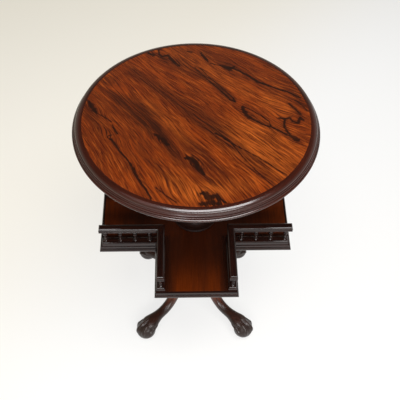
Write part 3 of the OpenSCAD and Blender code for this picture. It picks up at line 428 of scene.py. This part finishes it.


# Figured panel. Strokes are drawn lines of (x, y, half width) in mm, x to the right and y to the back
panelSet = {
    "cells": 290,           # along each side of its grid
    "grainTurn": -50.0,     # degrees in plan
    "grainFan": 0.001,      # per mm: how fast the grain flattens towards the back right
    "haloWidth": 8,         # mm of brown shade beside each stroke
    "haloDepth": 0.6,
    "bandCore": 0.4,        # of a band's half width is fully dark
    "bandFall": 0.8,        # under 1 fades late, over 1 soon
    "knotLength": 2.2,      # a knot's reach along the grain, against its reach across
    # Knots that the grain flows round: (x, y, reach, push)
    "knots": [
        (-88, 235, 26, 0.8), (-214, 135, 26, 0.8), (-252, 42, 22, 0.8), (86, 184, 24, 0.7),
        (228, -4, 26, 0.8), (226, -68, 18, 0.7), (128, 8, 22, 0.6), (-6, -148, 22, 0.7), (28, -252, 26, 0.8),
        (-204, -58, 20, 0.8), (-84, -72, 18, 0.6), (-60, -215, 30, 0.5), (40, -190, 30, 0.4),
    ],
    "strokes": {
        "knot": [(-94, 265, 2), (-92, 240, 3), (-84, 230, 4), (-69, 236, 5), (-52, 208, 5), (-40, 192, 3)],
        "knotSpot": [(-119, 244, 4), (-106, 236, 5)],
        "backDash": [(-18, 252, 2), (-8, 247, 3)],
        "backStreak": [(17, 244, 3), (26, 226, 5), (34, 209, 3)],
        "waveStart": [(38, 204, 1.5), (58, 196, 2), (74, 189, 4)],
        "waveKnot": [(74, 188, 6), (88, 180, 9), (98, 186, 5)],
        "wave": [(98, 185, 3), (119, 168, 3.5), (138, 150, 3.5), (156, 131, 4.5), (181, 118, 3.5),
                 (212, 100, 3), (231, 91, 3), (252, 74, 3.5), (258, 70, 2)],
        "bandEdgeA": [(0, 186, 1.2), (31, 140, 1.8), (62, 98, 2.2), (84, 66, 3), (96, 57, 3)],
        "bandEdgeB": [(14, 182, 1), (40, 142, 1.4), (68, 106, 1.6), (90, 74, 1.8), (97, 58, 2)],
        "loopNear": [(113, 42, 2.5), (116, 20, 6), (126, 4, 5), (140, -8, 2.5), (162, -25, 2.5),
                     (178, -31, 2.5)],
        "loopFar": [(113, 42, 2.5), (134, 28, 1.8), (156, 8, 1.8), (174, -12, 1.8), (178, -30, 2)],
        "loopTail": [(178, -31, 2.5), (200, -47, 4), (216, -60, 4), (228, -69, 8), (236, -74, 6)],
        "zigzag": [(200, 0, 3), (212, -4, 3.5), (225, 0, 3.5), (231, -12, 3.5), (244, -18, 4.5), (250, 0, 4),
                   (258, -8, 3)],
        "zigzagTail": [(212, -6, 3), (209, -31, 3), (216, -50, 3.5), (224, -64, 4)],
        "rightStreak": [(228, 50, 3), (241, 31, 4.5), (253, 12, 3)],
        "rightThin": [(246, 62, 1.5), (262, 40, 1.5), (270, 24, 1.5)],
        "bandTip": [(-100, -52, 3), (-90, -62, 6), (-78, -76, 8), (-68, -88, 4)],
        "middleThin": [(44, -50, 3), (62, -66, 3), (88, -90, 2), (138, -128, 1.6), (181, -168, 1.8),
                       (200, -184, 1.5)],
        "middleThinB": [(75, -76, 1.5), (106, -131, 1.5), (138, -181, 1.8), (169, -219, 1.8)],
        "leftBlot": [(-262, 62, 4), (-256, 46, 7), (-246, 30, 6), (-240, 20, 3)],
        "leftUpper": [(-240, 20, 1.8), (-219, 4, 1.5), (-203, -10, 1.5)],
        "leftJoin": [(-201, -20, 1.5), (-194, -38, 3), (-187, -50, 2.5)],
        "leftHook": [(-198, -54, 1), (-209, -57, 1.6), (-209, -64, 1.6), (-201, -70, 2.5)],
        "leftLine": [(-200, -68, 2.5), (-181, -104, 2.5), (-158, -138, 2.5), (-148, -160, 5),
                     (-134, -194, 3.5), (-118, -222, 2.5), (-104, -252, 2.5)],
        "leftLow": [(-94, -219, 1.2), (-70, -244, 1.5), (-50, -262, 1.5)],
        "blot": [(-26, -131, 5), (-14, -130, 9), (-7, -142, 10), (2, -158, 10), (9, -170, 7), (14, -180, 4)],
        "lowBlot": [(6, -237, 5), (16, -238, 8), (22, -250, 10), (38, -244, 7), (45, -256, 6)],
        "lowBlotFoot": [(6, -268, 7), (28, -264, 10), (44, -268, 8)],
        "lowBlotTail": [(40, -245, 3), (56, -262, 3), (66, -268, 2)],
    },
    # Paler zones, partly paler wood and partly painted light that brightens the front right: (x, y, half
    # width, depth)
    "glows": {
        "lowRight": [(70, -30, 30, 0.6), (120, -60, 46, 1.0), (170, -110, 60, 1.0), (200, -150, 46, 1.0)],
        "low": [(-60, -200, 26, 0.7), (-20, -235, 30, 0.8), (60, -225, 26, 0.7), (110, -210, 20, 0.5)],
        "right": [(180, 60, 26, 0.6), (215, 20, 24, 0.6)],
        "middle": [(-120, 60, 16, 0.4), (-60, -20, 20, 0.5), (-20, -80, 14, 0.4)],
        "back": [(-40, 250, 24, 0.3), (40, 170, 24, 0.3), (130, 90, 20, 0.3)],
        "left": [(-180, -180, 20, 0.5)],
    },
    # Dark bands: (x, y, half width, depth)
    "bands": {
        "knotShade": [(-84, 232, 14, 0.5), (-50, 206, 20, 0.7), (-20, 180, 18, 0.4), (36, 140, 10, 0.75),
                      (66, 100, 9, 0.8), (92, 66, 8, 0.8)],
        "broadLeft": [(-214, 96, 10, 0.5), (-180, 62, 24, 0.8), (-130, 14, 30, 0.85), (-96, -40, 22, 0.9),
                      (-66, -92, 14, 0.9), (-40, -130, 16, 0.5), (10, -180, 14, 0.5), (50, -230, 14, 0.3)],
        "middle": [(-160, 172, 12, 0.5), (-110, 124, 16, 0.6), (-60, 72, 18, 0.75), (-10, 20, 24, 0.85),
                   (40, -42, 22, 0.9), (80, -92, 20, 0.7), (130, -150, 22, 0.6), (180, -205, 14, 0.4)],
        "leftSpot": [(-219, 140, 14, 0.6), (-210, 128, 14, 0.6)],
        "leftWide": [(-230, 60, 40, 0.3), (-180, -20, 40, 0.3), (-140, -120, 36, 0.3)],
        "leftBand": [(-268, 40, 16, 0.5), (-230, -20, 20, 0.5), (-196, -80, 16, 0.4), (-150, -160, 16, 0.35)],
        "backRight": [(20, 246, 12, 0.4), (90, 180, 22, 0.4), (150, 130, 16, 0.3), (230, 70, 16, 0.35)],
        "loopInside": [(120, 20, 10, 0.8), (132, 2, 12, 0.6), (150, -8, 12, 0.5), (176, -28, 8, 0.5)],
        "rightEdge": [(180, 210, 12, 0.25), (230, 140, 14, 0.3), (262, 40, 14, 0.35)],
        "lowMiddle": [(-60, -40, 14, 0.35), (-10, -100, 20, 0.5), (20, -140, 16, 0.5), (70, -190, 16, 0.3)],
        "lowLeft": [(-140, -90, 14, 0.35), (-100, -150, 14, 0.4), (-50, -210, 14, 0.35)],
    },
}


# Nearest distance to a line of points, and its width there: each vertex is dropped onto every stretch
def nearLine(x, y, line):
    line = np.array(line, float)
    best = np.full(x.shape, np.inf)
    values = [np.zeros(x.shape) for _ in range(line.shape[1] - 2)]
    for a, b in zip(line[:-1], line[1:]):
        run = b[:2] - a[:2]
        t = np.clip(((x - a[0]) * run[0] + (y - a[1]) * run[1]) / (run @ run), 0, 1)
        d = np.hypot(x - a[0] - t * run[0], y - a[1] - t * run[1])
        close = d < best
        best = np.where(close, d, best)
        values = [np.where(close, a[2 + i] + t * (b[2 + i] - a[2 + i]), v) for i, v in enumerate(values)]
    return best, values


# A square grid is drawn out into a disc, so the cells stay even: x = r u sqrt(1 - v v / 2), and y alike. Near
# a knot the place across the grain is drawn towards it by push v exp(-u u - v v), which spreads the streaks
def makePanel(s):
    # Radius and heights are those of the frame's own panel, in mm
    box = np.array(nodes["tabletop_panel"].bound_box) * 1000
    radius, low, high = np.round((box[:, 0].max(), box[:, 2].min(), box[:, 2].max()), 1)
    n = s["cells"] + 1
    u, v = np.meshgrid(np.linspace(-1, 1, n), np.linspace(-1, 1, n), indexing="xy")
    x = radius * (u * np.sqrt(1 - v * v / 2)).ravel()
    y = radius * (v * np.sqrt(1 - u * u / 2)).ravel()
    top = np.stack([x, y, np.full(n * n, high)], 1)
    # The grid's edge, taken round once, is repeated at the panel's underside
    step = np.arange(n - 1)
    edge = np.concatenate([step, step * n + n - 1, n * n - 1 - step, (n - 1 - step) * n])
    bottom = top[edge] * (1, 1, 0) + (0, 0, low)
    under = n * n + np.arange(len(edge))
    ring = np.stack([np.roll(edge, -1), edge, under, np.roll(under, -1)], 1)
    faces = gridFaces(n, n) + ring.tolist() + [under[::-1].tolist()]
    points = np.concatenate([top, bottom])
    piece = makePiece("tabletopPanel", points, faces, topVeneer)
    x, y = points[:, 0], points[:, 1]
    # Away from its line a stroke falls evenly to nothing at two half widths, a band stays whole over its core
    # and then falls, and a glow falls as exp(-d d)
    figure, shade, glow = np.zeros(len(x)), np.zeros(len(x)), np.zeros(len(x))
    for line in s["strokes"].values():
        away, (width,) = nearLine(x, y, line)
        figure = np.maximum(figure, np.clip(1 - away / (2 * width), 0, 1))
        shade = np.maximum(shade, s["haloDepth"] * np.clip(1 - away / (s["haloWidth"] + width), 0, 1))
    for line in s["bands"].values():
        away, (width, depth) = nearLine(x, y, line)
        shade = np.maximum(shade, depth * np.clip(1 + s["bandCore"] - away / width, 0, 1) ** s["bandFall"])
    for line in s["glows"].values():
        away, (width, depth) = nearLine(x, y, line)
        glow = np.maximum(glow, depth * np.exp(-(away / width) ** 2))
    turn = math.radians(s["grainTurn"])
    along = x * math.cos(turn) + y * math.sin(turn)
    across = y * math.cos(turn) - x * math.sin(turn)
    pushed = across.copy()
    for knotX, knotY, reach, push in s["knots"]:
        u = (along - knotX * math.cos(turn) - knotY * math.sin(turn)) / (s["knotLength"] * reach)
        v = (across - knotY * math.cos(turn) + knotX * math.sin(turn)) / reach
        pushed -= push * reach * v * np.exp(-u * u - v * v)
    across = pushed - s["grainFan"] * pushed * along
    grain = np.stack([along, across, points[:, 2]], 1)
    for name, values in (("figure", figure), ("bandShade", shade), ("glow", glow)):
        shares = piece.data.attributes.new(name, "FLOAT", "POINT")
        shares.data.foreach_set("value", values.astype(np.float32))
    places = piece.data.attributes.new("grain", "FLOAT_VECTOR", "POINT")
    places.data.foreach_set("vector", grain.ravel().astype(np.float32))
    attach(piece, "revolving")
    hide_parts("tabletop_panel")


makePanel(panelSet)
print("tabletop panel made")


# Cabriole legs with ball-and-claw feet, in mm: along the leg from the pivot, across it, and up
legSet = {
    "turns": {"front_left": 225, "front_right": 315, "back_right": 45, "back_left": 135},
    # Outlines above and below, as two cubic curves each
    "over": [
        [(33, 170), (78, 172), (74, 81.5), (130, 64.5)],
        [(130, 64.5), (150, 56.25), (192, 72), (226, 48)],
    ],
    "under": [
        [(33, 110), (62, 108), (82, 43.5), (130, 36.5)],
        [(130, 36.5), (150, 34.5), (169, 40), (194, 32)],
    ],
    "rootWidth": 32, "ankleWidth": 29, "palmWidth": 47, "palmEndWidth": 26,
    "palmWidest": 0.88,         # share of the leg's length
    "palmFall": 1.3,
    "squareness": 0.82,
    "legGrid": (110, 48),       # rings, points round each
    "ball": (207, 28, 28.5),    # along, up, radius
    "ballGrid": (40, 64),
    "ballPole": 0.02,           # radians left open at each pole, and closed by a flat face
    "toeRadius": 6.3,
    "toeBed": 26.9,             # from the ball's middle to a toe's, where it lies on the ball
    "bedFrom": 0.2, "bedOver": 0.25,    # shares of a toe at which it comes down onto the ball
    "toeGrid": (40, 16),
    "toes": [
        [(-39, 5, 27), (-4, 5, 37), (39, 15, 26), (19, 12, -16)],
        [(-39, 11, 20), (-24, 22, 9), (8, 48, 30), (17, 20, -14)],
    ],
    "heelToe": [(-26, 0, 16), (-34, 0, 4), (-36, 0, -10), (-17, 0, -20)],
    "knuckles": [(0, 0.4), (0.2, 0.6), (0.33, 0.78), (0.43, 1.02), (0.52, 0.8), (0.6, 0.74), (0.7, 0.96),
                 (0.78, 0.78), (0.86, 0.55), (1, 0.12)],    # share of the toe, share of its radius
    "dovetail": [(20, -8), (34, -6), (34, 6), (20, 8)], "dovetailUp": (110, 166),
    "voxel": 1.25, "smoothing": 8, "smoothShare": 0.5,
}


# Cubic curve: (1-t)^3 a + 3 t (1-t)^2 b + 3 t^2 (1-t) c + t^3 d, for a whole array of t
def cubic(points, t):
    a, b, c, d = [np.array(q, float) for q in points]
    t = t[..., None]
    return (1 - t) ** 3 * a + 3 * t * (1 - t) ** 2 * b + 3 * t * t * (1 - t) * c + t ** 3 * d


# Eases in and out: t t (3 - 2 t)
def easeInOut(t):
    t = np.clip(t, 0, 1)
    return t * t * (3 - 2 * t)


# Leg skin: at each share of its length the section's top and bottom lie on the two outlines, and the ring
# between them is the rounded square sign(cos a) |cos a|^q across and sign(sin a) |sin a|^q up
def legSkin(s):
    rings, columns = s["legGrid"]
    share = np.linspace(0, 1, rings)
    upper, lower = np.clip(2 * share, 0, 1), np.clip(2 * share - 1, 0, 1)
    over, under = [np.where((share < 0.5)[:, None], cubic(s[side][0], upper), cubic(s[side][1], lower))
                   for side in ("over", "under")]
    middle, rise = (over + under) / 2, (over - under) / 2
    widest = s["palmWidest"]
    t = np.clip((share - 0.5) / (widest - 0.5), 0, 1)
    width = s["rootWidth"] + (s["ankleWidth"] - s["rootWidth"]) * easeInOut(2 * share)
    width = width + (s["palmWidth"] - s["ankleWidth"]) * easeInOut(t * t)
    past = np.clip((share - widest) / (1 - widest), 0, 1)
    width = width + (s["palmEndWidth"] - s["palmWidth"]) * past ** s["palmFall"]
    angle = np.linspace(0, 2 * np.pi, columns, endpoint=False)
    across = np.sign(np.cos(angle)) * np.abs(np.cos(angle)) ** s["squareness"]
    up = np.sign(np.sin(angle)) * np.abs(np.sin(angle)) ** s["squareness"]
    return np.stack([middle[:, None, 0] + rise[:, None, 0] * up, width[:, None] / 2 * across,
                     middle[:, None, 1] + rise[:, None, 1] * up], -1)


# Toe: rings across a curve about the ball's middle, which is drawn onto the ball once past the palm. A ring's
# radius is the knuckle list's value at that share of the toe
def toeSkin(s, path):
    def at(t):
        q = cubic(path, np.clip(t, 0, 1))
        bedded = easeInOut((t - s["bedFrom"]) / s["bedOver"])[:, None]
        return q + (q * s["toeBed"] / np.linalg.norm(q, axis=1)[:, None] - q) * bedded
    rings, columns = s["toeGrid"]
    t = np.linspace(0, 1, rings)
    centre = at(t)
    step = 0.02
    along = at(t + step) - at(t - step)
    side = np.cross(along, centre)
    side /= np.linalg.norm(side, axis=1)[:, None]
    out = np.cross(side, along)
    out /= np.linalg.norm(out, axis=1)[:, None]
    radius = s["toeRadius"] * np.interp(t, *np.array(s["knuckles"]).T)
    angle = np.linspace(0, 2 * np.pi, columns, endpoint=False)
    ring = np.cos(angle)[None, :, None] * side[:, None] + np.sin(angle)[None, :, None] * out[:, None]
    ballAlong, ballUp, _ = s["ball"]
    return centre[:, None] + radius[:, None, None] * ring + (ballAlong, 0, ballUp)


# Ball: rings of radius r sin t at heights -r cos t
def ballSkin(s):
    ballAlong, ballUp, r = s["ball"]
    rings, columns = s["ballGrid"]
    t = np.linspace(s["ballPole"], np.pi - s["ballPole"], rings)[:, None]
    angle = np.linspace(0, 2 * np.pi, columns, endpoint=False)[None, :]
    return np.stack([ballAlong + r * np.sin(t) * np.cos(angle), r * np.sin(t) * np.sin(angle),
                     ballUp - r * np.cos(t) + 0 * angle], -1)


# The dovetail's plan carried from its foot up to its stop
def dovetailSkin(s):
    return np.array([[(x, y, z) for x, y in s["dovetail"]] for z in s["dovetailUp"]], float)


# The closed skins are joined by a voxel remesh and softened, as a carver's scraper leaves them, then turned
# into place. The ball's foot is pressed flat at the floor
def makeLegs(s):
    skins = [legSkin(s), ballSkin(s), dovetailSkin(s), toeSkin(s, s["heelToe"])]
    for path in s["toes"]:
        skins += [toeSkin(s, path), toeSkin(s, [(q[0], -q[1], q[2]) for q in path])]
    points, faces, start = [], [], 0
    for rings in skins:
        rows, columns = rings.shape[:2]
        points.append(rings.reshape(-1, 3))
        faces += gridFaces(rows, columns, ring=True, start=start)
        last = start + (rows - 1) * columns
        faces += [list(range(start, start + columns))[::-1], list(range(last, last + columns))]
        start += rows * columns
    rough = makePiece("legRough", np.concatenate(points), faces, legWood)
    work = bmesh.new()
    work.from_mesh(rough.data)
    bmesh.ops.recalc_face_normals(work, faces=work.faces)
    work.to_mesh(rough.data)
    work.free()
    remesh = rough.modifiers.new("join", "REMESH")
    remesh.mode = "VOXEL"
    remesh.voxel_size = s["voxel"] / 1000
    smooth = rough.modifiers.new("soften", "SMOOTH")
    smooth.factor, smooth.iterations = s["smoothShare"], s["smoothing"]
    done = bpy.data.meshes.new_from_object(rough.evaluated_get(bpy.context.evaluated_depsgraph_get()))
    bpy.data.objects.remove(rough)
    places = np.empty(len(done.vertices) * 3)
    done.vertices.foreach_get("co", places)
    places = places.reshape(-1, 3) * 1000
    faces = [tuple(face.vertices) for face in done.polygons]
    places[:, 2] = np.maximum(places[:, 2], 0)
    for side, turn in s["turns"].items():
        c, d = math.cos(math.radians(turn)), math.sin(math.radians(turn))
        turned = np.stack([c * places[:, 0] - d * places[:, 1], d * places[:, 0] + c * places[:, 1],
                           places[:, 2]], 1)
        piece = makePiece("carvedLeg_" + side, turned, faces, legWood)
        piece.data.polygons.foreach_set("use_smooth", np.ones(len(faces), bool))
        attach(piece, "base")
        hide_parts("leg_" + side)


makeLegs(legSet)
print("legs made")

# Studio: white floor of a photographer's cove and a dim ceiling. One lamp is almost overhead, for the light
# on the rim and the shade under the top. A wide one round it fills in, and one in front lights the nosings
# and legs
studioSet = {
    "floorHalf": 40.0,      # m
    "floorColour": "#f4f2ec",
    # What the camera sees, as colours at the left and right, near and far; the darker far colours are a
    # painted falloff of light
    "floorNear": ("#fbf6ea", "#ffffff"), "floorFar": ("#dcd5c2", "#dfddd8"),
    "wallSeen": ("#c7c1b0", "#c7c5c0"),
    "floorWhiteShare": 0.74,
    "whitest": (0.5, -0.3), "farFrom": 1.1, "farTo": 3.2,    # m
    "sideTurn": 35,         # degrees that the line between left and right is turned by
    "floorSide": 0.8,       # m over which left turns to right
    "wallSide": 0.05,       # the same on the wall, as a sine
    "wallColour": "#f2f0ea", "ceilingColour": "#413e37",
    "wallUpTo": 0.1, "ceilingFrom": 0.75,    # as the sine of the height above the horizon
    "worldStrength": 0.6,
    # Lamps: (place, point aimed at, width and height, watts), in m
    "lamps": {
        "lampOverhead": ((0.25, -0.7, 2.9), (0, 0, 0.7), (1.8, 1.0), 60),
        "lampFill": ((0, -1.1, 3.05), (0, 0, 0.7), (4.2, 2.4), 24),
        "lampFront": ((0.35, -2.3, 1.9), (0, 0, 0.6), (2.2, 0.55), 55),
    },
}


# 1 for rays from the camera, off something glossy or through something clear, else 0
def seenDirectly(m):
    ray = addNode(m, "LightPath")
    mirror = addNode(m, "Math", {"operation": "MAXIMUM"},
                     {0: (ray, "Is Glossy Ray"), 1: (ray, "Is Transmission Ray")})
    return addNode(m, "Math", {"operation": "MAXIMUM"}, {0: (ray, "Is Camera Ray"), 1: (mirror, 0)})


# The camera and mirror-like surfaces see the floor mostly as white paper, so that its shadows stay faint. It
# dims with the distance from its whitest point, a painted pool of light, and is creamier at the left
def makeFloor(s):
    mesh = bpy.data.meshes.new("studioFloor")
    r = s["floorHalf"]
    mesh.from_pydata([(-r, -r, 0), (r, -r, 0), (r, r, 0), (-r, r, 0)], [], [(0, 1, 2, 3)])
    floor = bpy.data.objects.new("studioFloor", mesh)
    bpy.context.scene.collection.objects.link(floor)
    m = newMaterial("paintedStudioFloor")
    place = addNode(m, "TexCoord")
    whitestX, whitestY = s["whitest"]
    fromWhitest = addNode(m, "Mapping", {"Location": (-whitestX, -whitestY, 0)},
                          {"Vector": (place, "Object")})
    away = addNode(m, "VectorMath", {"operation": "LENGTH"}, {0: (fromWhitest, 0)})
    far = addNode(m, "MapRange", {"From Min": s["farFrom"], "From Max": s["farTo"], **soft},
                  {"Value": (away, "Value")})
    turned = addNode(m, "Mapping", {"Rotation": (0, 0, math.radians(s["sideTurn"]))},
                     {"Vector": (place, "Object")})
    parts = addNode(m, "SeparateXYZ", links={"Vector": (turned, 0)})
    side = addNode(m, "MapRange", {"From Min": -s["floorSide"], "From Max": 0.0, **soft},
                   {"Value": (parts, "X")})
    tints = [addNode(m, "Mix", {"data_type": "RGBA", 6: linear(left), 7: linear(right)}, {0: (side, 0)})
             for left, right in (s["floorNear"], s["floorFar"])]
    white = addNode(m, "Mix", {"data_type": "RGBA"}, {0: (far, 0), 6: (tints[0], 2), 7: (tints[1], 2)})
    seen = addNode(m, "Emission", {"Strength": 1.0}, {"Color": (white, 2)})
    paint = addNode(m, "BsdfPrincipled", {"Base Color": linear(s["floorColour"]), "Roughness": 0.8})
    share = addNode(m, "Math", {"operation": "MULTIPLY", 1: s["floorWhiteShare"]}, {0: (seenDirectly(m), 0)})
    both = addNode(m, "MixShader", links={0: (share, 0), 1: (paint, "BSDF"), 2: (seen, "Emission")})
    addNode(m, "OutputMaterial", links={"Surface": (both, "Shader")})
    mesh.materials.append(m)


# Pale walls that turn to a dim ceiling, by the height of the direction looked in. The camera and mirror-like
# surfaces see the walls as pale as the floor's far end
def makeWorld(s):
    world = bpy.data.worlds.new("studioAir")
    bpy.context.scene.world = world
    world.use_nodes = True
    world.node_tree.nodes.clear()
    way = addNode(world, "TexCoord")
    parts = addNode(world, "SeparateXYZ", links={"Vector": (way, "Generated")})
    height = addNode(world, "MapRange", {"From Min": s["wallUpTo"], "From Max": s["ceilingFrom"], **soft},
                     {"Value": (parts, "Z")})
    colour = addNode(world, "Mix", {"data_type": "RGBA", 6: linear(s["wallColour"]),
                                    7: linear(s["ceilingColour"])}, {0: (height, 0)})
    air = addNode(world, "Background", {"Strength": s["worldStrength"]}, {"Color": (colour, 2)})
    turned = addNode(world, "Mapping", {"Rotation": (0, 0, math.radians(s["sideTurn"]))},
                     {"Vector": (way, "Generated")})
    sides = addNode(world, "SeparateXYZ", links={"Vector": (turned, 0)})
    side = addNode(world, "MapRange", {"From Min": -s["wallSide"], "From Max": 0.0}, {"Value": (sides, "X")})
    left, right = s["wallSeen"]
    tint = addNode(world, "Mix", {"data_type": "RGBA", 6: linear(left), 7: linear(right)}, {0: (side, 0)})
    seen = addNode(world, "Background", {"Strength": 1.0}, {"Color": (tint, 2)})
    wall = addNode(world, "Math", {"operation": "SUBTRACT", 0: 1.0}, {1: (height, 0)})
    share = addNode(world, "Math", {"operation": "MULTIPLY"}, {0: (seenDirectly(world), 0), 1: (wall, 0)})
    both = addNode(world, "MixShader", links={0: (share, 0), 1: (air, "Background"), 2: (seen, "Background")})
    addNode(world, "OutputWorld", links={"Surface": (both, "Shader")})


# A soft lamp is a rectangle that faces the point it is aimed at
def makeLamp(name, place, aim, size, power):
    lamp = bpy.data.lights.new(name, "AREA")
    lamp.shape = "RECTANGLE"
    lamp.size, lamp.size_y = size
    lamp.energy = power
    holder = bpy.data.objects.new(name, lamp)
    holder.location = place
    holder.rotation_mode = "QUATERNION"
    holder.rotation_quaternion = (Vector(aim) - Vector(place)).to_track_quat("-Z", "Y")
    bpy.context.scene.collection.objects.link(holder)


makeFloor(studioSet)
makeWorld(studioSet)
for lampName, (place, aim, size, power) in studioSet["lamps"].items():
    makeLamp(lampName, place, aim, size, power)
bpy.context.scene.view_settings.view_transform = "Standard"
print("studio made")
